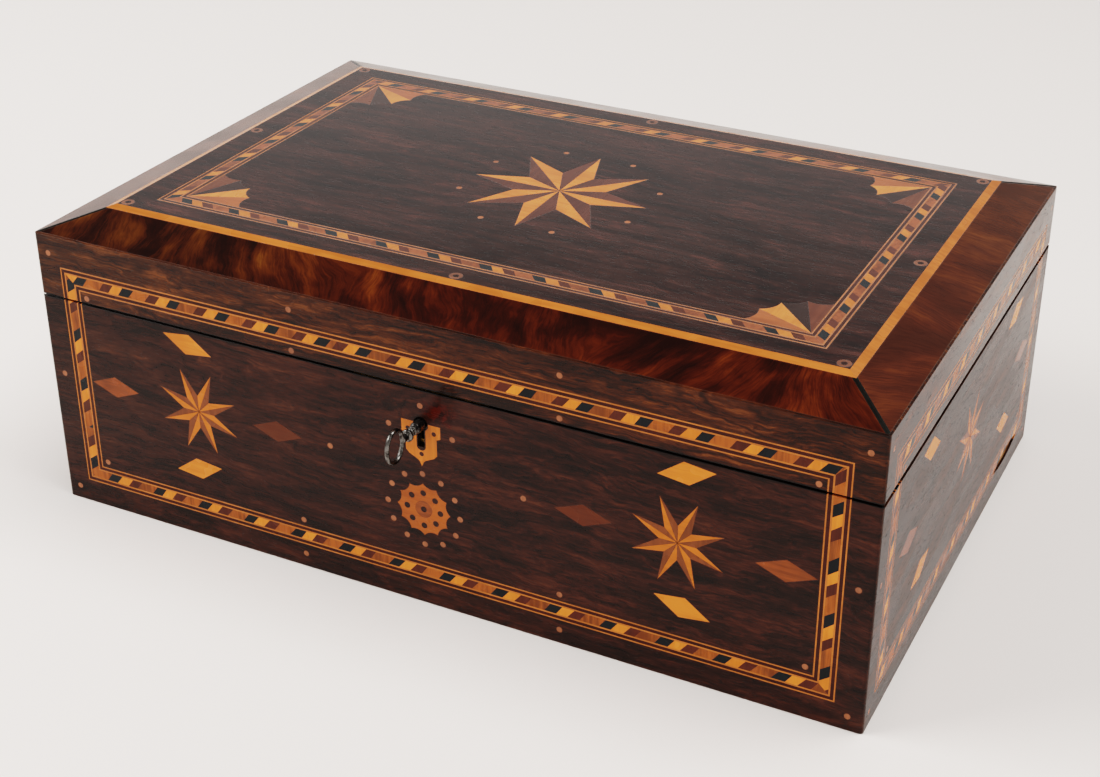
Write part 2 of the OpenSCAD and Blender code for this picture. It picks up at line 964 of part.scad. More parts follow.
// The plan of the four hip lines, from the corners of the flat to the corners of the lid
module hip_plan() {
  for (mx = [0, 1], my = [0, 1]) mirror([mx, 0]) mirror([0, my])
    translate([flat_x, flat_y]) rotate(atan2(side_run, end_run)) translate([0, -hip_w / 2])
      square([2 * side_run, hip_w]);
}

// The plan of the bevel outside the stringing
module bevel_plan() {
  difference() {
    rect(-board_x, -board_y, board_x, board_y);
    rect(-string_x, -string_y, string_x, string_y);
  }
}

// What lies between the lid's sloping surface and the board under it, over a plan
module bevel_layer() {
  difference() {
    intersection() {
      crown(0);
      translate([0, 0, panel_low]) linear_extrude(20) children();
    }
    crown(veneer_t);
  }
}

module bevel_veneers() {
  color("brown") bevel_layer() difference() {
    bevel_plan();
    hip_plan();
  }
}

module hip_lines() {
  color("black") bevel_layer() intersection() {
    bevel_plan();
    hip_plan();
  }
}

module top_stringing() {
  color("gold") bevel_layer() difference() {
    rect(-string_x, -string_y, string_x, string_y);
    rect(-flat_x, -flat_y, flat_x, flat_y);
  }
}

module top_band() {
  frame(half_w - top_margin, half_d - top_margin, band_w);
}

module top_veneer() {
  color("saddlebrown") on_top() difference() {
    rect(-flat_x, -flat_y, flat_x, flat_y);
    top_band();
    translate([top_star_x, 0]) star_outline(top_star_r, top_notch, 0);
    fans(0, 3);
    dots(top_dots);
    dots(top_ring_spots, ring_r);
  }
}

module top_banding() {
  color("goldenrod") on_top() top_band();
}

module top_star_halves(side) {
  translate([top_star_x, 0]) star_halves(top_star_r, top_notch, 0, side);
}

module top_star_light() {
  color("gold") on_top() top_star_halves(-1);
}

module top_star_dark() {
  color("rosybrown") on_top() top_star_halves(1);
}

module fans_orange() {
  color("chocolate") on_top() fans(0, 0);
}

module fans_yellow() {
  color("gold") on_top() fans(1, 1);
}

module fans_dark() {
  color("maroon") on_top() fans(2, 2);
}

module fans_red() {
  color("sienna") on_top() fans(3, 3);
}

module top_rings() {
  color("tan") on_top() difference() {
    dots(top_ring_spots, ring_r);
    dots(top_ring_spots, ring_core_r);
  }
}

module top_ring_cores() {
  color("black") on_top() dots(top_ring_spots, ring_core_r);
}

// Plate under the lid's front edge, with the staple that the bolt's tongue passes through
module link_plate() {
  staple_low = bar_low + 0.3;
  eye_low = tongue_low - 0.4;
  eye_high = bar_high + 0.4;
  color("darkgoldenrod") difference() {
    union() {
      block([lock_x - link_half, -board_y, lid_low], [lock_x + link_half, lock_back, lid_low + link_t]);
      block([lock_x + staple_x, bolt_front - staple_wrap, staple_low],
        [lock_x + staple_x + staple_w, bolt_front + bolt_t + staple_wrap, lid_low + link_t]);
    }
    block([lock_x + staple_x - 1, bolt_front - 0.4, eye_low],
      [lock_x + staple_x + staple_w + 1, bolt_front + bolt_t + 0.4, eye_high]);
    link_screws(screw_clear);
  }
}

module link_plate_screws() {
  color("silver") link_screws();
}

front_board();
back_board();
left_board();
right_board();
bottom_board();
case_rim();
case_lining();
front_veneer();
back_veneer();
end_veneers();
case_banding();
case_stars_light();
case_stars_dark();
yellow_lozenges();
red_lozenges();
case_dots();
patera();
patera_ring();
patera_dots();
escutcheon();
escutcheon_pins();
lock_case();
lock_cap();
lock_spring();
drill_pin();
lock_screws();
case_hinge_leaves();
hinge_pins();
case_hinge_screws();
lock_bolt();
key();
lid_front_rail();
lid_back_rail();
lid_left_rail();
lid_right_rail();
lid_panel();
lid_rim();
lid_lining();
lid_veneers();
lid_banding();
lid_dots();
bevel_veneers();
hip_lines();
top_stringing();
top_veneer();
top_banding();
top_star_light();
top_star_dark();
fans_yellow();
fans_orange();
fans_red();
fans_dark();
top_rings();
top_ring_cores();
link_plate();
link_plate_screws();
lid_hinge_leaves();
lid_hinge_screws();
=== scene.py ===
import json
import math
import random

import bmesh
import bpy
from mathutils import Matrix, Vector


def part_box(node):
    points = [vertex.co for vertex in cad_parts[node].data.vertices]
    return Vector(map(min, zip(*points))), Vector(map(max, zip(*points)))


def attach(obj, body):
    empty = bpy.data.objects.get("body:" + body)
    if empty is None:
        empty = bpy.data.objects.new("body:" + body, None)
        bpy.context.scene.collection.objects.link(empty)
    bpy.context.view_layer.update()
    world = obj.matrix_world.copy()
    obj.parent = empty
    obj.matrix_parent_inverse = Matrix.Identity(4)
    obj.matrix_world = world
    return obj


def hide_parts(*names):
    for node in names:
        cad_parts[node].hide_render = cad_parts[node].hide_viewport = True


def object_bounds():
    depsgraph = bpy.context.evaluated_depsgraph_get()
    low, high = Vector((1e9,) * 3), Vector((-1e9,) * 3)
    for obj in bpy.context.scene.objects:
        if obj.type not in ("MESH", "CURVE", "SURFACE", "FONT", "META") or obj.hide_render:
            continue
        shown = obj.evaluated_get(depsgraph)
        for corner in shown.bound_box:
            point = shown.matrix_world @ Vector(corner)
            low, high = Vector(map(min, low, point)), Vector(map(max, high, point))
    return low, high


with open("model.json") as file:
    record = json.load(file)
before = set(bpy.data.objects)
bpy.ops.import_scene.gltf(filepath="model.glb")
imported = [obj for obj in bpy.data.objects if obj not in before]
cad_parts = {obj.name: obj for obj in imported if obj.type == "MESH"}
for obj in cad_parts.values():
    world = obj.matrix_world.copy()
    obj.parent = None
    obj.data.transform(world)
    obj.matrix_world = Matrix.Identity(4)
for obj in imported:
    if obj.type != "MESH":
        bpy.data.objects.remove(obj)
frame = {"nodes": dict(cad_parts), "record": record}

CAD_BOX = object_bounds()
NODES = frame["nodes"]
MM = 0.001

# The box's main sizes, read from the frame
lid_low, lid_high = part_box("lid_veneers")
HALF_W = lid_high[0]
HALF_D = lid_high[1]
CASE_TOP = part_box("front_veneer")[1][2]
LID_LOW = lid_low[2]
END_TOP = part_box("end_veneers")[1][2]
END_LOW = LID_LOW + CASE_TOP - END_TOP
LID_TOP = CAD_BOX[1][2]
VENEER = 1 * MM
KEY_X = (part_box("key")[0][0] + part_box("key")[1][0]) / 2
KEY_Z = (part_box("drill_pin")[0][2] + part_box("drill_pin")[1][2]) / 2

# The keyhole, blackened as painted shade: how far its slot runs down from the key's axis, the slot's and the
# round hole's radius with a rim of painted shade, and the two depths below the axis between which one passes
# into the other
KEYHOLE_DROP = 10.2 * MM
KEYHOLE_SLOT_R = 2.1 * MM
KEYHOLE_ROUND_R = 3.4 * MM
KEYHOLE_NECK = (3 * MM, 1 * MM)

# How far a second stretch of veneer is taken from the first in the noise, so that they don't repeat
FAR = 0.7


# ---------- shader helpers ----------


def srgb(r, g, b):
    """A colour given as 0 to 255 screen values, as the linear numbers that shaders take."""
    return tuple(((c / 255 + 0.055) / 1.055) ** 2.4 if c > 10 else c / 255 / 12.92 for c in (r, g, b)) + (1,)


class Shader:
    """A material and short calls that add nodes to it. A value may be a socket or a number.

    The Mix node's sockets share their names, so they go by number: 4 and 5 take vectors, 6 and 7 colours."""

    def __init__(self, name):
        self.material = bpy.data.materials.new(name)
        self.material.use_nodes = True
        self.tree = self.material.node_tree
        self.tree.nodes.clear()
        self.output = self.tree.nodes.new("ShaderNodeOutputMaterial")
        coordinates = self.tree.nodes.new("ShaderNodeTexCoord")
        self.point = coordinates.outputs["Object"]
        self.normal = coordinates.outputs["Normal"]

    def put(self, socket, value):
        if isinstance(value, bpy.types.NodeSocket):
            self.tree.links.new(value, socket)
        else:
            socket.default_value = value

    def math(self, operation, a, b=0.0, clamp=False):
        node = self.tree.nodes.new("ShaderNodeMath")
        node.operation = operation
        node.use_clamp = clamp
        self.put(node.inputs[0], a)
        self.put(node.inputs[1], b)
        return node.outputs[0]

    def vector_math(self, operation, a, b=(0, 0, 0)):
        node = self.tree.nodes.new("ShaderNodeVectorMath")
        node.operation = operation
        self.put(node.inputs[0], a)
        self.put(node.inputs[1], b)
        return node.outputs["Value" if operation in ("DOT_PRODUCT", "DISTANCE") else "Vector"]

    def split(self, vector):
        node = self.tree.nodes.new("ShaderNodeSeparateXYZ")
        self.put(node.inputs[0], vector)
        return node.outputs

    def join(self, x, y, z):
        node = self.tree.nodes.new("ShaderNodeCombineXYZ")
        for socket, value in zip(node.inputs, (x, y, z)):
            self.put(socket, value)
        return node.outputs[0]

    def noise(self, vector, scale, detail=3.0, roughness=0.5, distortion=0.0):
        node = self.tree.nodes.new("ShaderNodeTexNoise")
        self.put(node.inputs["Vector"], vector)
        node.inputs["Scale"].default_value = scale
        node.inputs["Detail"].default_value = detail
        node.inputs["Roughness"].default_value = roughness
        node.inputs["Distortion"].default_value = distortion
        return node.outputs["Fac"]

    def remap(self, value, low, high, to_low=0.0, to_high=1.0):
        node = self.tree.nodes.new("ShaderNodeMapRange")
        node.interpolation_type = "SMOOTHSTEP"
        for socket, v in zip(node.inputs, (value, low, high, to_low, to_high)):
            self.put(socket, v)
        return node.outputs["Result"]

    def ramp(self, value, stops):
        node = self.tree.nodes.new("ShaderNodeValToRGB")
        elements = node.color_ramp.elements
        while len(elements) < len(stops):
            elements.new(0.5)
        for element, (position, colour) in zip(elements, stops):
            element.position = position
            element.color = colour
        self.put(node.inputs[0], value)
        return node.outputs["Color"]

    def mix(self, factor, a, b, blend="MIX"):
        node = self.tree.nodes.new("ShaderNodeMix")
        node.data_type = "RGBA"
        node.blend_type = blend
        self.put(node.inputs[0], factor)
        self.put(node.inputs[6], a)
        self.put(node.inputs[7], b)
        return node.outputs[2]

    def choose(self, factor, a, b):
        """Vector a where factor is 0, b where it is 1."""
        node = self.tree.nodes.new("ShaderNodeMix")
        node.data_type = "VECTOR"
        self.put(node.inputs[0], factor)
        self.put(node.inputs[4], a)
        self.put(node.inputs[5], b)
        return node.outputs[1]

    def soft_edges(self, radius):
        """The surface normal, rounded over at edges."""
        node = self.tree.nodes.new("ShaderNodeBevel")
        node.samples = 4
        node.inputs["Radius"].default_value = radius
        return node.outputs[0]

    def bump(self, height, strength, distance, radius=0.4 * MM):
        """A normal with that height in it, over edges rounded to that radius."""
        node = self.tree.nodes.new("ShaderNodeBump")
        node.inputs["Strength"].default_value = strength
        node.inputs["Distance"].default_value = distance
        self.put(node.inputs["Height"], height)
        self.put(node.inputs["Normal"], self.soft_edges(radius))
        return node.outputs["Normal"]

    def edge_wear(self, radius):
        """0 on flat places, up to 1 at edges within that radius."""
        geometry = self.tree.nodes.new("ShaderNodeNewGeometry")
        alike = self.vector_math("DOT_PRODUCT", self.soft_edges(radius), geometry.outputs["Normal"])
        ragged = self.math("ADD", alike, self.math("MULTIPLY", self.noise(self.point, 420, 3), 0.06))
        return self.remap(ragged, 1.015, 0.93)

    def keyhole_painted_shade(self, colour):
        """The colour with painted shade: blackened in and round the keyhole and down its slot, where the hole
        lies in shade.
        """
        x, _, z = self.split(self.point)
        in_slot = self.math("MINIMUM", self.math("MAXIMUM", z, KEY_Z - KEYHOLE_DROP), KEY_Z)
        away = self.vector_math("DISTANCE", self.join(x, 0, z), self.join(KEY_X, 0, in_slot))
        low, high = KEYHOLE_NECK
        radius = self.remap(z, KEY_Z - low, KEY_Z - high, KEYHOLE_SLOT_R, KEYHOLE_ROUND_R)
        dark = self.math("MULTIPLY", self.math("LESS_THAN", away, radius), 0.96)
        return self.mix(dark, colour, srgb(9, 6, 5))

    def joint_painted_shade(self, colour, reach):
        """The colour with painted shade: blackened at the joint between case and lid within reach of its
        edges, where the gap lies in shade.
        """
        z = self.split(self.point)[2]
        away = self.math("ABSOLUTE", self.math("SUBTRACT", z, (CASE_TOP + LID_LOW) / 2))
        ragged = weigh(self, (away, 1), (self.noise(self.point, 160, 3), -0.8 * MM))
        half = (LID_LOW - CASE_TOP) / 2
        return self.mix(self.remap(ragged, half + reach, half - 0.3 * MM), colour, srgb(14, 8, 7))

    def finish(self, colour, roughness, ior, normal, metallic=0.0):
        shader = self.tree.nodes.new("ShaderNodeBsdfPrincipled")
        self.put(shader.inputs["Base Color"], colour)
        self.put(shader.inputs["Roughness"], roughness)
        self.put(shader.inputs["Normal"], normal)
        shader.inputs["IOR"].default_value = ior
        shader.inputs["Metallic"].default_value = metallic
        self.tree.links.new(shader.outputs[0], self.output.inputs["Surface"])
        return self.material


def grain_point(s, along, seed):
    """The object's point with the grain turned to X.

    along is X, Y or Z, or ROUND where the grain runs round the box."""
    x, y, z = s.split(s.point)
    turned = {"X": lambda: s.point, "Y": lambda: s.join(y, x, z), "Z": lambda: s.join(z, y, x)}
    if along in turned:
        chosen = turned[along]()
    else:
        on_end = s.math("GREATER_THAN", s.math("ABSOLUTE", s.split(s.normal)[0]), 0.7)
        chosen = s.choose(on_end, s.point, s.join(y, s.math("ADD", x, FAR), z))
    return s.vector_math("ADD", chosen, (seed * 1.7, seed * 0.9, seed * 2.3))


def stretched(s, point, length):
    """The point with the grain direction drawn out by that factor."""
    return s.vector_math("MULTIPLY", point, (1 / length, 1, 1))


def weigh(s, *terms):
    """The sum of socket and weight pairs."""
    total = None
    for value, weight in terms:
        part = s.math("MULTIPLY", value, weight)
        total = part if total is None else s.math("ADD", total, part)
    return total


# ---------- wood, metal and cloth ----------


def rosewood(name, along, seed, tones, contour=0.3, ior=1.33, roughness=0.2, relief=0.16, stain=None):
    """Dark veneer: wandering near-black streaks, contour lines, fine fibres and pores.

    tones run dark to light, and stain is the centre and radius of a red mark beside the keyhole."""
    s = Shader(name)
    point = grain_point(s, along, seed)
    sway = s.noise(stretched(s, point, 3), 13, 2)
    swell = s.noise(stretched(s, point, 2), 60, 3, 0.6)
    lift = weigh(s, (sway, 0.04), (swell, 0.011))
    swayed = s.vector_math("ADD", point, s.join(0, lift, lift))
    broad = s.noise(stretched(s, swayed, 6), 75, 4, 0.6, 0.4)
    streaks = s.noise(stretched(s, swayed, 9), 250, 4, 0.68)
    fibres = s.noise(stretched(s, swayed, 16), 1000, 3, 0.7)
    figure = weigh(s, (broad, 0.34), (streaks, 0.38), (fibres, 0.28))
    colour = s.ramp(figure, list(zip((0.40, 0.47, 0.54, 0.64), tones)))
    rings = s.noise(stretched(s, swayed, 6), 26, 2, 0.5)
    wave = s.math("ABSOLUTE", s.math("SUBTRACT", s.math("FRACT", s.math("MULTIPLY", rings, 15)), 0.5))
    broken = s.math("MULTIPLY", s.remap(wave, 0.2, 0.02), s.remap(streaks, 0.38, 0.6))
    colour = s.mix(s.math("MULTIPLY", broken, contour), colour, tones[0])
    pores = s.remap(s.noise(stretched(s, swayed, 10), 1500, 1, 0.4), 0.62, 0.71)
    colour = s.mix(s.math("MULTIPLY", pores, 0.6), colour, srgb(12, 8, 8))
    if stain:
        centre, radius = stain
        away = s.vector_math("DISTANCE", s.point, centre)
        # The noise adds about 10 mm to the distance
        ragged = weigh(s, (away, 1), (s.noise(s.point, 260, 5, 0.75), 20 * MM))
        mark = s.remap(ragged, radius + 10.5 * MM, radius * 0.4 + 8.5 * MM)
        tint = s.mix(s.remap(s.noise(s.point, 420, 3), 0.4, 0.6), srgb(34, 10, 6), srgb(78, 22, 8))
        colour = s.mix(s.math("MULTIPLY", mark, 0.8), colour, tint)
        # Painted shade in and round the keyhole
        colour = s.keyhole_painted_shade(colour)
    colour = s.mix(s.math("MULTIPLY", s.edge_wear(0.9 * MM), 0.3), colour, srgb(84, 52, 38))
    # Painted shade along the gap between case and lid
    colour = s.joint_painted_shade(colour, 0.4 * MM)
    gloss = weigh(s, (s.remap(broad, 0.3, 0.7, roughness - 0.04, roughness + 0.05), 1), (pores, 0.12))
    height = s.math("SUBTRACT", s.math("MULTIPLY", streaks, 0.3), pores)
    return s.finish(colour, gloss, ior, s.bump(height, relief, 0.08 * MM))


def flame(name, seed, ior=1.3):
    """Figured veneer: dark and fiery patches with strokes that cross the bevel and lean, under polish."""
    s = Shader(name)
    x, y, _ = s.split(s.point)
    facing = s.split(s.normal)
    on_end = s.math("GREATER_THAN", s.math("ABSOLUTE", facing[0]), s.math("ABSOLUTE", facing[1]))
    ends = s.math("SUBTRACT", HALF_W, s.math("ABSOLUTE", x))
    sides = s.math("SUBTRACT", HALF_D, s.math("ABSOLUTE", y))
    inward = weigh(s, (sides, 1), (s.math("MULTIPLY", on_end, s.math("SUBTRACT", ends, sides)), 1))
    # The place along the bevel, moved on for each of the four so that no two are alike
    outward = weigh(s, (y, 1), (s.math("MULTIPLY", on_end, s.math("SUBTRACT", x, y)), 1))
    offset = s.math("MULTIPLY", s.math("SIGN", outward), FAR)
    to_end = s.math("MULTIPLY", on_end, s.math("SUBTRACT", y, x))
    along = weigh(s, (x, 1), (to_end, 1), (offset, 1), (on_end, 1.9))
    flat = s.join(along, inward, seed)
    bend = s.noise(flat, 24, 2, 0.5)
    curl = s.noise(flat, 75, 3, 0.6)
    turn = s.remap(s.noise(s.join(along, 0.0, seed), 11, 1), 0.35, 0.65, -0.6, 1.1)
    slant = s.math("MULTIPLY", inward, turn)
    lean = weigh(s, (along, 1), (slant, 1), (bend, 0.014), (curl, 0.005))
    patches = s.noise(s.join(lean, s.math("MULTIPLY", inward, 0.5), seed), 42, 3, 0.5, 0.2)
    clouds = s.noise(s.join(lean, inward, seed + 0.7), 75, 3, 0.55, 0.3)
    strokes = s.noise(s.join(lean, s.math("MULTIPLY", inward, 0.3), 0.4), 150, 3, 0.6, 0.4)
    fine = s.noise(s.join(lean, s.math("MULTIPLY", inward, 0.12), 1.2), 900, 3, 0.65, 0.3)
    figure = weigh(s, (patches, 0.5), (clouds, 0.2), (strokes, 0.2), (fine, 0.1))
    colour = s.ramp(figure, [
        (0.40, srgb(32, 11, 7)), (0.47, srgb(50, 18, 9)), (0.53, srgb(72, 30, 13)),
        (0.60, srgb(100, 49, 20)), (0.70, srgb(140, 78, 33)),
    ])
    colour = s.mix(s.math("MULTIPLY", on_end, 0.45), colour, srgb(84, 48, 33))
    colour = s.mix(s.remap(fine, 0.32, 0.6, 0.3, 0.0), colour, srgb(36, 12, 7))
    faded = s.mix(1.0, colour, srgb(208, 232, 238), "MULTIPLY")
    towards_left = s.math("SUBTRACT", s.remap(x, 0.02, -0.13), on_end, clamp=True)
    colour = s.mix(towards_left, colour, faded)
    colour = s.mix(s.math("MULTIPLY", s.edge_wear(0.9 * MM), 0.2), colour, srgb(110, 66, 40))
    return s.finish(colour, s.remap(patches, 0.3, 0.7, 0.13, 0.2), ior, s.bump(fine, 0.07, 0.05 * MM))


def inlay(name, base, dark, along, seed, contrast=0.6, ior=1.33, keyhole=False, darker_within=None):
    """A small inlaid wood: grain lines and cloudy tone between two colours, flecks and rubbed edges.

    keyhole adds painted shade in and round the keyhole, and pieces nearer the middle than the last distance
    given are darker."""
    s = Shader(name)
    point = grain_point(s, along, seed)
    cloud = s.noise(point, 60, 2, 0.5)
    lines = s.noise(stretched(s, point, 14), 560, 3, 0.6, 0.3)
    amount = s.remap(weigh(s, (cloud, 0.5), (lines, 0.5)), 0.62, 0.36, 0.0, contrast)
    colour = s.mix(amount, base, dark)
    flecks = s.remap(s.noise(stretched(s, point, 9), 1600, 1, 0.4), 0.66, 0.76)
    colour = s.mix(s.math("MULTIPLY", flecks, 0.35), colour, dark)
    colour = s.mix(s.math("MULTIPLY", s.edge_wear(0.3 * MM), 0.4), colour, dark)
    if keyhole:
        # Painted shade in and round the keyhole
        colour = s.keyhole_painted_shade(colour)
    # Pieces nearer the middle than that distance are darker
    if darker_within:
        out = s.math("ABSOLUTE", s.split(s.point)[0])
        colour = s.mix(s.remap(out, darker_within + 5 * MM, darker_within - 5 * MM, 0.0, 0.8), colour, dark)
    gloss = s.remap(cloud, 0.3, 0.7, 0.2, 0.3)
    height = s.math("SUBTRACT", lines, flecks)
    return s.finish(colour, gloss, ior, s.bump(height, 0.1, 0.05 * MM, radius=0.2 * MM))


def bare_wood(name, along="X", seed=1.0, keyhole=False):
    """Unpolished softwood inside the box, with rings and fibres."""
    s = Shader(name)
    point = grain_point(s, along, seed)
    rings = s.noise(stretched(s, point, 12), 90, 3, 0.55, 0.6)
    fibres = s.noise(stretched(s, point, 30), 900, 2, 0.6)
    figure = weigh(s, (rings, 0.7), (fibres, 0.3))
    colour = s.ramp(figure, [
        (0.34, srgb(120, 80, 48)), (0.5, srgb(162, 118, 74)), (0.66, srgb(186, 146, 98)),
    ])
    colour = s.mix(s.math("MULTIPLY", s.edge_wear(1 * MM), 0.5), colour, srgb(96, 66, 44))
    if keyhole:
        # Painted shade in and round the keyhole
        colour = s.keyhole_painted_shade(colour)
    return s.finish(colour, s.remap(fibres, 0.3, 0.7, 0.55, 0.75), 1.45, s.bump(fibres, 0.25, 0.1 * MM))


def metal(name, light, dark, roughness):
    """Worn metal: tarnish in clouds, brighter rubbed edges and fine scratches."""
    s = Shader(name)
    tarnish = s.noise(s.point, 420, 4, 0.6)
    scratches = s.noise(s.vector_math("MULTIPLY", s.point, (1, 6, 1)), 2600, 2, 0.6)
    rubbed = s.math("MULTIPLY", s.edge_wear(0.6 * MM), 0.8)
    amount = s.math("SUBTRACT", s.remap(tarnish, 0.38, 0.66), rubbed, clamp=True)
    colour = s.mix(amount, light, dark)
    rough = weigh(s, (s.remap(tarnish, 0.3, 0.7, roughness - 0.08, roughness + 0.12), 1), (scratches, 0.1))
    return s.finish(colour, rough, 1.5, s.bump(scratches, 0.08, 0.04 * MM), metallic=1.0)


def velvet(name):
    """Thin pile cloth glued in as a lining, faded in patches, with a sheen."""
    s = Shader(name)
    fade = s.noise(s.point, 14, 3, 0.55)
    pile = s.noise(s.point, 2400, 2, 0.7)
    colour = s.ramp(fade, [(0.34, srgb(88, 19, 23)), (0.55, srgb(104, 25, 29)), (0.7, srgb(120, 35, 36))])
    colour = s.mix(s.remap(pile, 0.3, 0.6, 0.35, 0.0), colour, srgb(40, 8, 10))
    s.finish(colour, s.remap(pile, 0.3, 0.7, 0.75, 0.95), 1.4, s.bump(pile, 0.4, 0.2 * MM))
    shader = next(n for n in s.tree.nodes if n.type == "BSDF_PRINCIPLED")
    shader.inputs["Sheen Weight"].default_value = 0.5
    shader.inputs["Sheen Roughness"].default_value = 0.4
    return s.material


# ---------- materials ----------

# Rosewood's tones from dark to light: body, lid's upright sides, top and ends
DARK_TONES = (srgb(24, 16, 14), srgb(38, 22, 18), srgb(56, 31, 24), srgb(84, 47, 33))
LID_TONES = (srgb(20, 11, 8), srgb(43, 21, 12), srgb(72, 37, 18), srgb(120, 66, 34))
TOP_TONES = (srgb(20, 12, 12), srgb(33, 18, 16), srgb(48, 26, 22), srgb(78, 43, 36))
END_TONES = (srgb(20, 13, 11), srgb(40, 24, 18), srgb(64, 38, 27), srgb(98, 60, 41))

# The red stain above and to the right of the keyhole: its centre and radius
LOCK_STAIN = ((KEY_X + 8.5 * MM, -HALF_D, KEY_Z + 7 * MM), 8 * MM)

BY_NODE = {
    "front_veneer": rosewood("rosewood_front", "X", 1, DARK_TONES, contour=0.35, ior=1.3, stain=LOCK_STAIN),
    "back_veneer": rosewood("rosewood_back", "X", 2, DARK_TONES, contour=0.35, ior=1.3),
    "end_veneers": rosewood("rosewood_ends", "Y", 3, END_TONES, ior=1.32, roughness=0.27, relief=0.4),
    "lid_veneers": rosewood("rosewood_lid", "ROUND", 4, LID_TONES, contour=0.8, ior=1.32),
    "top_veneer": rosewood("rosewood_top", "X", 5, TOP_TONES, contour=0.2, ior=1.38),
    "front_board": bare_wood("pine_at_lock", "X", 2, keyhole=True),
    "red_lozenges": inlay("lozenge_padouk", srgb(138, 70, 34), srgb(72, 33, 19), "X", 18, darker_within=0.09),
    "case_stars_light": inlay("star_side_boxwood", srgb(192, 110, 43), srgb(150, 80, 32), "X", 28, ior=1.3),
    "hip_lines": inlay("hip_ebony", srgb(30, 30, 27), srgb(18, 17, 16), "Y", 9, ior=1.2),
    "top_stringing": inlay(
        "stringing_wood", srgb(178, 108, 50), srgb(150, 86, 40), "X", 12, contrast=0.75, ior=1.36,
    ),
    "escutcheon": inlay("escutcheon_wood", srgb(192, 112, 44), srgb(152, 80, 32), "Z", 13, keyhole=True),
    "escutcheon_pins": inlay("pin_wood", srgb(66, 32, 22), srgb(30, 16, 13), "X", 14, contrast=0.9),
    "top_rings": inlay("ring_wood", srgb(120, 74, 54), srgb(84, 50, 38), "X", 22, ior=1.45),
    "top_star_light": inlay("star_boxwood", srgb(194, 120, 56), srgb(160, 92, 42), "X", 23, ior=1.4),
    "top_star_dark": inlay("mauve_wood", srgb(88, 48, 37), srgb(60, 34, 28), "Y", 17, ior=1.4),
    "fans_yellow": inlay("fan_boxwood", srgb(190, 122, 60), srgb(158, 96, 46), "Y", 24, ior=1.4),
    "fans_orange": inlay("fan_satinwood", srgb(150, 88, 52), srgb(116, 64, 40), "X", 25, ior=1.4),
    "fans_red": inlay("fan_padouk", srgb(100, 56, 40), srgb(74, 40, 31), "Y", 26, ior=1.4),
    "fans_dark": inlay("fan_ebony", srgb(52, 34, 30), srgb(30, 22, 21), "X", 27, ior=1.4),
}
BY_SLOT = {
    "pine": bare_wood("pine"),
    "rosewood": rosewood("rosewood_rims", "ROUND", 6, DARK_TONES),
    "flame_mahogany": flame("flame_mahogany", 1.0),
    "red_lining": velvet("red_velvet"),
    "yellow_wood": inlay("boxwood", srgb(208, 126, 50), srgb(174, 96, 37), "X", 15, ior=1.3),
    "brown_wood": inlay("fruitwood", srgb(124, 66, 36), srgb(84, 43, 27), "Z", 16),
    "red_wood": inlay("padouk", srgb(138, 72, 36), srgb(88, 42, 25), "X", 18),
    "orange_wood": inlay("satinwood", srgb(160, 86, 36), srgb(124, 60, 27), "X", 19),
    "tan_wood": inlay("tan_wood", srgb(152, 92, 58), srgb(110, 62, 41), "Z", 20, ior=1.42),
    "ebony": inlay("ebony", srgb(46, 26, 21), srgb(20, 12, 11), "X", 21),
    "brass": metal("aged_brass", srgb(190, 152, 90), srgb(132, 100, 56), 0.34),
    "grey_steel": metal("grey_steel", srgb(118, 115, 111), srgb(38, 35, 34), 0.27),
}
SLOTS = {part["node"]: part["material_slot"] for part in frame["record"]["subparts"]}

# The CAD bandings have no entry above and take the yellow wood; the bandings made below stand for them
for node, ob in NODES.items():
    for material_slot in ob.material_slots:
        material_slot.link = "OBJECT"
        material_slot.material = BY_NODE.get(node) or BY_SLOT.get(SLOTS[node]) or BY_SLOT["yellow_wood"]

# ---------- banding ----------

# The side banding's outer edge: from the box's corners, and its bottom and top height
BAND_MARGIN = 12 * MM
BAND_LOW = 11.5 * MM
BAND_HIGH = 118 * MM
top_low, top_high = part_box("top_banding")

# Widths across the banding from its outer edge in: wood and width, where None is the row of blocks
LAYERS = [
    ("line", 0.6), ("core", 1.4), ("line", 0.7), (None, 4.0), ("line", 0.7), ("core", 1.4), ("line", 0.6),
]
# The blocks' lengths along the banding, and the two orders in which they come
BLOCK_WIDTHS = {"yellow": 5.5, "black": 5.5, "red": 8.4, "brown": 5.1}
REPEAT = sum(BLOCK_WIDTHS.values())
BLACK_AFTER = ("yellow", "black", "red", "brown")
BLACK_BEFORE = ("yellow", "brown", "red", "black")

# How far a joint between blocks leans, in mm along for each mm across, and how much the joints vary: in mm
# to each side of their place, and as the least and most of the lean
LEAN = 0.75
JOINT_WANDER = 0.3
LEAN_SPREAD = (0.88, 1.12)

# Slivers under this area in mm2 are left out
LEAST_AREA = 0.02

WOOD_ORDER = ["line", "core", "yellow", "black", "red", "brown"]


def band_woods(prefix, ior, line, yellow, red):
    """The banding's woods; the lines and two of the block woods differ between the sides and the top."""
    return {
        "line": inlay(prefix + "_line_wood", line[0], line[1], "X", 30, ior=ior),
        "core": inlay(prefix + "_core_wood", srgb(66, 28, 18), srgb(38, 18, 13), "X", 31, ior=ior),
        "yellow": inlay(prefix + "_yellow_wood", yellow[0], yellow[1], "Z", 32, ior=ior),
        "black": inlay(prefix + "_black_wood", srgb(26, 30, 33), srgb(15, 17, 19), "Z", 33, ior=ior),
        "red": inlay(prefix + "_red_wood", red[0], red[1], "Z", 34, contrast=0.85, ior=ior),
        "brown": inlay(prefix + "_brown_wood", srgb(84, 41, 29), srgb(54, 28, 21), "Z", 35, ior=ior),
    }


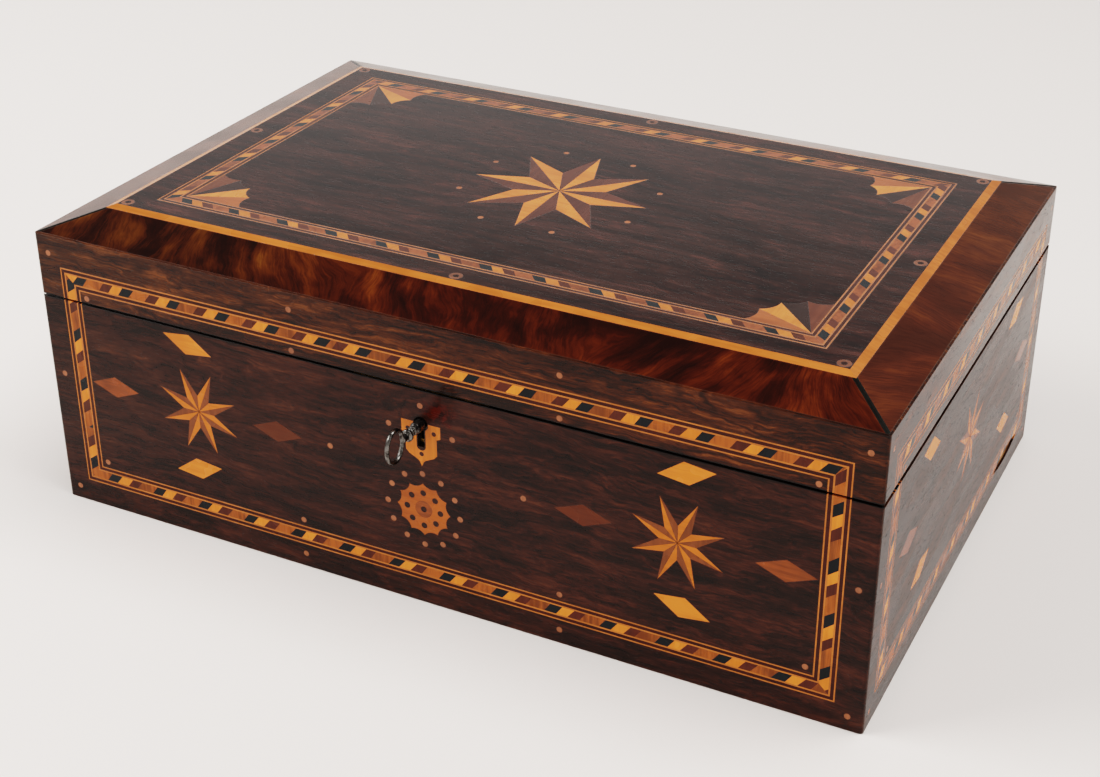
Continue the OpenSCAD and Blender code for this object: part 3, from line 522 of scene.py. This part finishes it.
BAND_WOODS = band_woods(
    "side_band", ior=1.3,
    line=(srgb(184, 112, 54), srgb(146, 84, 42)),
    yellow=(srgb(213, 130, 52), srgb(182, 102, 40)),
    red=(srgb(160, 88, 40), srgb(98, 50, 28)),
)
TOP_BAND_WOODS = band_woods(
    "top_band", ior=1.45,
    line=(srgb(166, 106, 62), srgb(120, 72, 46)),
    yellow=(srgb(184, 114, 52), srgb(150, 86, 42)),
    red=(srgb(136, 76, 46), srgb(92, 50, 34)),
)

# Each face seen from outside, with u to the right, w up and the depth under its surface
FACES = {
    "front": lambda u, w, depth: Vector((u, depth - HALF_D, w)),
    "right": lambda u, w, depth: Vector((HALF_W - depth, u, w)),
    "left": lambda u, w, depth: Vector((depth - HALF_W, -u, w)),
    "top": lambda u, w, depth: Vector((u, w, LID_TOP - depth)),
}

# For the runs along the top, bottom, left and right of a face's frame: for each spliced length, where it
# starts, where its first yellow block is, the order of woods and the lean, in mm and from the left or the top
FRONT_RUNS = {
    "top": [(0, 4.4, BLACK_AFTER, -LEAN), (137, 146.3, BLACK_AFTER, -LEAN)],
    "bottom": [(0, 21.2, BLACK_BEFORE, LEAN)],
    "left": [(0, 12.6, BLACK_BEFORE, -LEAN), (78, 90.6, BLACK_AFTER, -LEAN)],
    "right": [(0, 2.0, BLACK_BEFORE, LEAN)],
}
END_RUNS = {
    "top": [(0, 14.0, BLACK_AFTER, -LEAN)],
    "bottom": [(0, 8.0, BLACK_BEFORE, LEAN), (131, 139, BLACK_BEFORE, LEAN)],
    "left": [(0, 20.0, BLACK_BEFORE, -LEAN)],
    "right": [(0, 9.0, BLACK_BEFORE, LEAN)],
}
TOP_RUNS = {
    "top": [(0, 11.2, BLACK_AFTER, -LEAN)],
    "bottom": [(0, 18.0, BLACK_BEFORE, -LEAN)],
    "left": [(0, 17.4, BLACK_AFTER, -LEAN)],
    "right": [(0, 12.9, BLACK_AFTER, -LEAN)],
}


def clip(polygon, keep):
    """The part of a convex polygon where keep(point) is 0 or more; keep is linear."""
    out = []
    for a, b in zip(polygon, polygon[1:] + polygon[:1]):
        ka, kb = keep(a), keep(b)
        if ka >= 0:
            out.append(a)
        if (ka > 0) != (kb > 0) and ka != kb and min(abs(ka), abs(kb)) > 1e-9:
            t = ka / (ka - kb)
            out.append((a[0] + (b[0] - a[0]) * t, a[1] + (b[1] - a[1]) * t))
    return out


def area(polygon):
    """A polygon's area."""
    return abs(sum(a[0] * b[1] - b[0] * a[1] for a, b in zip(polygon, polygon[1:] + polygon[:1]))) / 2


def block_row(pieces, length, low, high, chance):
    """Slanted blocks along one run between two depths, as pairs of wood and polygon in mm.

    The first and last of the spliced lengths run on past the corners, where the mitres cut them."""
    middle = (low + high) / 2
    for index, (start, first, order, lean) in enumerate(pieces):
        end = pieces[index + 1][0] if index + 1 < len(pieces) else length
        along = first - BLOCK_WIDTHS["yellow"] / 2
        while along > start - REPEAT:
            along -= REPEAT
        edge = (along, lean)
        while along < end + REPEAT:
            for wood in order:
                along += BLOCK_WIDTHS[wood]
                wander = chance.uniform(-JOINT_WANDER, JOINT_WANDER)
                next_edge = (along + wander, lean * chance.uniform(*LEAN_SPREAD))
                corners = [
                    (at + tilt * (depth - middle), depth)
                    for (at, tilt), depth in ((edge, low), (next_edge, low), (next_edge, high), (edge, high))
                ]
                if index > 0:
                    corners = clip(corners, lambda p: p[0] - start)
                if end < length:
                    corners = clip(corners, lambda p: end - p[0])
                yield wood, corners
                edge = next_edge


def frame_polygons(u0, w0, u1, w1, runs, chance):
    """A mitred frame of banding inside a rectangle in mm: pairs of wood and polygon as seen from outside."""
    # For each side: the corner where it starts, the directions along it and inwards, and its length
    sides = {
        "top": ((u0, w1), (1, 0), (0, -1), u1 - u0),
        "bottom": ((u0, w0), (1, 0), (0, 1), u1 - u0),
        "left": ((u0, w1), (0, -1), (1, 0), w1 - w0),
        "right": ((u1, w1), (0, -1), (-1, 0), w1 - w0),
    }
    for side, (corner, forward, inward, length) in sides.items():
        shapes = []
        low = 0
        for wood, width in LAYERS:
            high = low + width
            if wood:
                shapes.append((wood, [(0, low), (length, low), (length, high), (0, high)]))
            else:
                shapes.extend(block_row(runs[side], length, low, high, chance))
            low = high
        for wood, shape in shapes:
            shape = clip(shape, lambda p: p[0] - p[1])
            shape = clip(shape, lambda p: length - p[0] - p[1])
            if len(shape) > 2 and area(shape) > LEAST_AREA:
                yield wood, [
                    tuple(corner[i] + forward[i] * along + inward[i] * across for i in (0, 1))
                    for along, across in shape
                ]


def add_prism(mesh, place, polygon, wood):
    """One closed block of veneer thickness under a polygon given in mm."""
    outer = [mesh.verts.new(place(u * MM, w * MM, 0)) for u, w in polygon]
    inner = [mesh.verts.new(place(u * MM, w * MM, VENEER)) for u, w in polygon]
    faces = [mesh.faces.new(outer), mesh.faces.new(inner[::-1])]
    for i in range(len(outer)):
        j = (i + 1) % len(outer)
        faces.append(mesh.faces.new((outer[j], outer[i], inner[i], inner[j])))
    for face in faces:
        face.material_index = WOOD_ORDER.index(wood)
    bmesh.ops.recalc_face_normals(mesh, faces=faces)


def add_object(name, data):
    ob = bpy.data.objects.new(name, data)
    bpy.context.scene.collection.objects.link(ob)
    return ob


def new_piece(name, mesh, materials, body, replaced):
    """A Blender object from a bmesh that rides on a body and stands for CAD nodes."""
    data = bpy.data.meshes.new(name)
    mesh.to_mesh(data)
    mesh.free()
    for material in materials:
        data.materials.append(material)
    piece = add_object(name, data)
    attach(piece, body)
    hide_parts(*replaced)
    return piece


def side_frames(keep_front, keep_end):
    """The bandings of the three inlaid upright faces, each clipped: triples of face, wood and polygon."""
    chance = random.Random(7)
    front = (HALF_W - BAND_MARGIN) / MM
    end = (HALF_D - BAND_MARGIN) / MM
    for face, half, runs, keep in (
        ("front", front, FRONT_RUNS, keep_front),
        ("right", end, END_RUNS, keep_end),
        ("left", end, END_RUNS, keep_end),
    ):
        for wood, shape in frame_polygons(-half, BAND_LOW / MM, half, BAND_HIGH / MM, runs, chance):
            shape = clip(shape, keep)
            if len(shape) > 2 and area(shape) > LEAST_AREA:
                yield face, wood, shape


# The finger slot in the right-hand end: its middle and half its size in mm, and its depth
FINGER_SLOT_AT = (82, 12.6)
FINGER_SLOT_HALF = (21.5, 2.8)
FINGER_SLOT_DEPTH = 6 * MM


def finger_slot_cutter():
    """The finger slot's lens, as a solid that passes the face."""
    half_l, half_h = FINGER_SLOT_HALF
    radius = (half_l ** 2 + half_h ** 2) / (2 * half_h)
    half_angle = math.asin(half_l / radius)
    steps = 24
    arc = [half_angle * (2 * i / steps - 1) for i in range(steps + 1)]
    rim = [(radius * math.sin(a), radius * math.cos(a) - radius + half_h) for a in arc]
    rim += [(-u, -w) for u, w in rim[1:-1]]
    mesh = bmesh.new()
    place = FACES["right"]
    rings = []
    for depth in (-VENEER, FINGER_SLOT_DEPTH):
        rings.append([
            mesh.verts.new(place((FINGER_SLOT_AT[0] + u) * MM, (FINGER_SLOT_AT[1] + w) * MM, depth))
            for u, w in rim
        ])
    mesh.faces.new(rings[0])
    mesh.faces.new(rings[1][::-1])
    for i in range(len(rim)):
        j = (i + 1) % len(rim)
        mesh.faces.new((rings[0][j], rings[0][i], rings[1][i], rings[1][j]))
    bmesh.ops.recalc_face_normals(mesh, faces=mesh.faces)
    data = bpy.data.meshes.new("slot_cutter")
    mesh.to_mesh(data)
    mesh.free()
    return add_object("slot_cutter", data)


def cut_prism(mesh, polygon, wood, cutter):
    """One block of the right-hand end with the finger slot taken out of it."""
    block = bmesh.new()
    add_prism(block, FACES["right"], polygon, wood)
    data = bpy.data.meshes.new("block")
    block.to_mesh(data)
    block.free()
    ob = add_object("block", data)
    for name in WOOD_ORDER:
        data.materials.append(BAND_WOODS[name])
    boolean = ob.modifiers.new("slot", "BOOLEAN")
    boolean.operation = "DIFFERENCE"
    boolean.solver = "EXACT"
    boolean.object = cutter
    cut = ob.evaluated_get(bpy.context.evaluated_depsgraph_get()).to_mesh()
    mesh.from_mesh(cut)
    bpy.data.objects.remove(ob)


def near_finger_slot(polygon):
    """Whether a polygon on the right-hand end may meet the finger slot."""
    middle_u, middle_w = FINGER_SLOT_AT
    reach_u, reach_w = FINGER_SLOT_HALF
    us, ws = [p[0] for p in polygon], [p[1] for p in polygon]
    past_u = min(us) > middle_u + reach_u or max(us) < middle_u - reach_u
    return not past_u and min(ws) < middle_w + reach_w


def make_bandings():
    """The case's, lid's and top's bandings in separate blocks and lines, which stand for the CAD strips."""
    materials = [BAND_WOODS[name] for name in WOOD_ORDER]
    cutter = finger_slot_cutter()
    case = bmesh.new()
    for face, wood, shape in side_frames(lambda p: CASE_TOP / MM - p[1], lambda p: END_TOP / MM - p[1]):
        if face == "right" and near_finger_slot(shape):
            cut_prism(case, shape, wood, cutter)
        else:
            add_prism(case, FACES[face], shape, wood)
    new_piece("case_banding_detail", case, materials, "case", ["case_banding"])
    bpy.data.objects.remove(cutter)
    lid = bmesh.new()
    for face, wood, shape in side_frames(lambda p: p[1] - LID_LOW / MM, lambda p: p[1] - END_LOW / MM):
        add_prism(lid, FACES[face], shape, wood)
    new_piece("lid_banding_detail", lid, materials, "lid", ["lid_banding"])
    top = bmesh.new()
    corners = [top_low[0] / MM, top_low[1] / MM, top_high[0] / MM, top_high[1] / MM]
    for wood, shape in frame_polygons(*corners, TOP_RUNS, random.Random(8)):
        add_prism(top, FACES["top"], shape, wood)
    top_materials = [TOP_BAND_WOODS[name] for name in WOOD_ORDER]
    new_piece("top_banding_detail", top, top_materials, "lid", ["top_banding"])


make_bandings()

# ---------- key ----------

# All in mm, along the key's axis out from the box's front, or as radii
KEY_TIP = -8.4
BORE_END = 0.9
BORE_R = 1.15
BARREL_R = 2.5
STEM_R = 1.5
# The bow: its middle, half its size along and across the axis, and half its section
BOW_OUT = 19.7
BOW_HALF = (6.5, 7.7)
BOW_SECTION = (1.0, 0.75)
# The bit: half its thickness, its length, how far it reaches from the axis, and where it leaves the barrel
BIT = (1.0, 4.4, 8.0)
BIT_ROOT = 1.8
KEY_SIDES = 32
# The barrel's chamfer at its tip, where the barrel ends in the shoulder, and the rounded collars on the
# stem: how far out, radius and half the length of each
TIP_CHAMFER = 0.25
BARREL_END = 3.9
COLLARS = [(6.1, 2.1, 0.55), (7.7, 1.9, 0.45), (10.1, 2.7, 0.95)]
# The neck that joins the stem to the bow, as distance out and radius
NECK = [(11.6, STEM_R), (12.4, 1.35), (13.2, 1.5), (13.9, 1.3), (14.3, 0)]


def bead(centre, radius, half):
    """Profile points of a rounded collar on the stem."""
    steps = 6
    angles = [math.pi * i / steps for i in range(steps + 1)]
    return [(centre - half * math.cos(a), STEM_R + (radius - STEM_R) * math.sin(a) ** 0.6) for a in angles]


def key_profile():
    """Distance out from the front and radius in mm, from the bottom of the bore to the bow's neck."""
    bore = [(BORE_END, 0), (BORE_END, BORE_R), (KEY_TIP, BORE_R)]
    barrel = [(KEY_TIP, BARREL_R - TIP_CHAMFER), (KEY_TIP + TIP_CHAMFER, BARREL_R)]
    shoulder = [
        (BARREL_END, BARREL_R), (BARREL_END + 0.4, BARREL_R - 0.1),
        (BARREL_END + 0.8, BARREL_R - 0.5), (BARREL_END + 1.2, STEM_R + 0.1),
    ]
    collars = [point for collar in COLLARS for point in bead(*collar)]
    return bore + barrel + shoulder + collars + NECK


def key_place(out, x, z):
    """A point from mm out of the front, to the right of the key's axis and above it."""
    return Vector((KEY_X + x * MM, -HALF_D - out * MM, KEY_Z + z * MM))


def lathe(mesh, profile):
    """A profile turned about the key's axis; radius 0 closes it in a point."""
    angles = [2 * math.pi * i / KEY_SIDES for i in range(KEY_SIDES)]
    rings = []
    for out, radius in profile:
        spots = [(radius * math.cos(a), radius * math.sin(a)) for a in angles] if radius else [(0, 0)]
        rings.append([mesh.verts.new(key_place(out, *spot)) for spot in spots])
    for a, b in zip(rings, rings[1:]):
        for i in range(KEY_SIDES):
            j = (i + 1) % KEY_SIDES
            corners = [a[i % len(a)], a[j % len(a)], b[j % len(b)], b[i % len(b)]]
            mesh.faces.new(list(dict.fromkeys(corners)))


def bow_ring(mesh):
    """The oval bow with an elliptical section."""
    steps, section = 56, 14
    half_out, half_z = BOW_HALF[0] - BOW_SECTION[1], BOW_HALF[1] - BOW_SECTION[1]
    rings = []
    for i in range(steps):
        a = 2 * math.pi * i / steps
        centre = Vector((half_out * math.cos(a), half_z * math.sin(a)))
        outward = Vector((half_z * math.cos(a), half_out * math.sin(a))).normalized()
        ring = []
        for k in range(section):
            b = 2 * math.pi * k / section
            spot = centre + outward * BOW_SECTION[1] * math.cos(b)
            ring.append(mesh.verts.new(key_place(BOW_OUT + spot[0], BOW_SECTION[0] * math.sin(b), spot[1])))
        rings.append(ring)
    for i in range(steps):
        for k in range(section):
            a, b = rings[i], rings[(i + 1) % steps]
            mesh.faces.new((a[k], a[(k + 1) % section], b[(k + 1) % section], b[k]))


def key_bit(mesh):
    """The flat bit under the barrel, with its edges eased."""
    half_t, length, height = BIT
    outs = (KEY_TIP + 0.2, KEY_TIP + 0.2 + length)
    spots = [(o, x, z) for o in outs for x in (-half_t, half_t) for z in (-height, -BIT_ROOT)]
    verts = [mesh.verts.new(key_place(*spot)) for spot in spots]
    for face in ((0, 1, 3, 2), (4, 6, 7, 5), (0, 4, 5, 1), (2, 3, 7, 6), (0, 2, 6, 4), (1, 5, 7, 3)):
        mesh.faces.new([verts[i] for i in face])
    edges = [e for e in mesh.edges if all(v in verts for v in e.verts)]
    bmesh.ops.bevel(mesh, geom=edges, offset=0.2 * MM, segments=2, affect="EDGES")


def make_key():
    """The key in one smooth piece, which stands for the CAD one."""
    mesh = bmesh.new()
    lathe(mesh, key_profile())
    bow_ring(mesh)
    key_bit(mesh)
    bmesh.ops.recalc_face_normals(mesh, faces=mesh.faces)
    for face in mesh.faces:
        face.smooth = True
    key = new_piece("turned_key", mesh, [BY_SLOT["grey_steel"]], "key", ["key"])
    key.data.set_sharp_from_angle(angle=math.radians(40))


make_key()

# ---------- floor, light and camera ----------


def studio_world():
    """Light that is bright near the horizon and dim above it, as round a white sweep."""
    world = bpy.data.worlds.new("studio")
    bpy.context.scene.world = world
    world.use_nodes = True
    tree = world.node_tree
    direction = tree.nodes.new("ShaderNodeTexCoord")
    parts = tree.nodes.new("ShaderNodeSeparateXYZ")
    ramp = tree.nodes.new("ShaderNodeValToRGB")
    tree.links.new(direction.outputs["Generated"], parts.inputs[0])
    tree.links.new(parts.outputs[2], ramp.inputs[0])
    # Height from the horizon at 0 to the zenith at 1, and brightness
    stops = [(0.0, 1.0), (0.18, 0.95), (0.38, 0.42), (0.5, 0.24), (0.8, 0.2)]
    warmth = (1.0, 0.965, 0.94)
    while len(ramp.color_ramp.elements) < len(stops):
        ramp.color_ramp.elements.new(0.5)
    for element, (position, level) in zip(ramp.color_ramp.elements, stops):
        element.position = position
        element.color = [level * part for part in warmth] + [1]
    background = tree.nodes["Background"]
    tree.links.new(ramp.outputs[0], background.inputs[0])
    background.inputs[1].default_value = 1.5


def stage_floor():
    """A sheet of paper with painted light: its colour is a little paler on the left, where the light comes
    from.
    """
    size = 6.0
    mesh = bpy.data.meshes.new("floor")
    corners = [(-size, -size, 0), (size, -size, 0), (size, size, 0), (-size, size, 0)]
    mesh.from_pydata(corners, [], [(0, 1, 2, 3)])
    floor = add_object("floor", mesh)
    s = Shader("paper")
    across = s.vector_math("DOT_PRODUCT", s.point, (0.9, 0.43, 0))
    # Painted light: paler towards the left, where the key light stands
    painted_light_falloff = s.mix(s.remap(across, -0.7, 0.7), srgb(253, 245, 239), srgb(238, 230, 224))
    colour = s.mix(s.math("MULTIPLY", s.noise(s.point, 2, 2), 0.2), painted_light_falloff, srgb(246, 237, 231))
    grain = s.noise(s.point, 900)
    floor.data.materials.append(s.finish(colour, 0.85, 1.3, s.bump(grain, 0.02, 0.2 * MM)))


def area_light(name, place, aim, size, power):
    """A softbox: where it is and what it is aimed at, in metres, its two sides and its power in watts."""
    data = bpy.data.lights.new(name, "AREA")
    data.shape = "RECTANGLE"
    data.size, data.size_y = size
    data.energy = power
    light = add_object(name, data)
    light.location = place
    light.rotation_euler = (Vector(aim) - Vector(place)).to_track_quat("-Z", "Y").to_euler()


# The light that shows as white, and pairs of linear light and what it is shown as
WHITE = 2.5
TONES = [
    (0, 0), (0.03, 0.012), (0.08, 0.06), (0.2, 0.2), (0.6, 0.56), (1.0, 0.72), (1.5, 0.84), (WHITE, 1.0),
]


def film_curve():
    """A camera's tone curve on linear light: deep shadows fall a little and highlights roll off.

    Of the four curves the last is the combined one."""
    settings = bpy.context.scene.view_settings
    settings.view_transform = "Standard"
    settings.use_curve_mapping = True
    mapping = settings.curve_mapping
    mapping.white_level = (WHITE, WHITE, WHITE)
    curve = mapping.curves[3]
    for light, shown in TONES[1:-1]:
        curve.points.new(light / WHITE, shown)
    curve.points[0].location = (TONES[0][0] / WHITE, TONES[0][1])
    curve.points[-1].location = (1, TONES[-1][1])
    mapping.update()


studio_world()
stage_floor()
film_curve()
area_light("softbox_left", place=(-1.6, -0.9, 1.7), aim=(0, 0, 0.05), size=(1.4, 1.0), power=41)
area_light("softbox_top", place=(0.75, 0.1, 2.2), aim=(0, 0, 0), size=(1.4, 1.6), power=46)

# The camera's place and the directions to its right and up, fitted to the box's edges with the lens and the
# shift below
CAMERA_PLACE = (0.3327, -0.6645, 0.45776)
CAMERA_RIGHT = Vector((0.90174, 0.43216, 0.01028))
CAMERA_UP = Vector((-0.20625, 0.40922, 0.88882))

camera_data = bpy.data.cameras.new("camera")
camera = add_object("camera", camera_data)
bpy.context.scene.camera = camera
turn = Matrix((CAMERA_RIGHT, CAMERA_UP, CAMERA_RIGHT.cross(CAMERA_UP))).transposed()
camera.matrix_world = Matrix.Translation(CAMERA_PLACE) @ turn.to_4x4()
camera_data.lens = 59.98
camera_data.sensor_width = 36
camera_data.shift_x = -0.0455
camera_data.shift_y = -0.0589
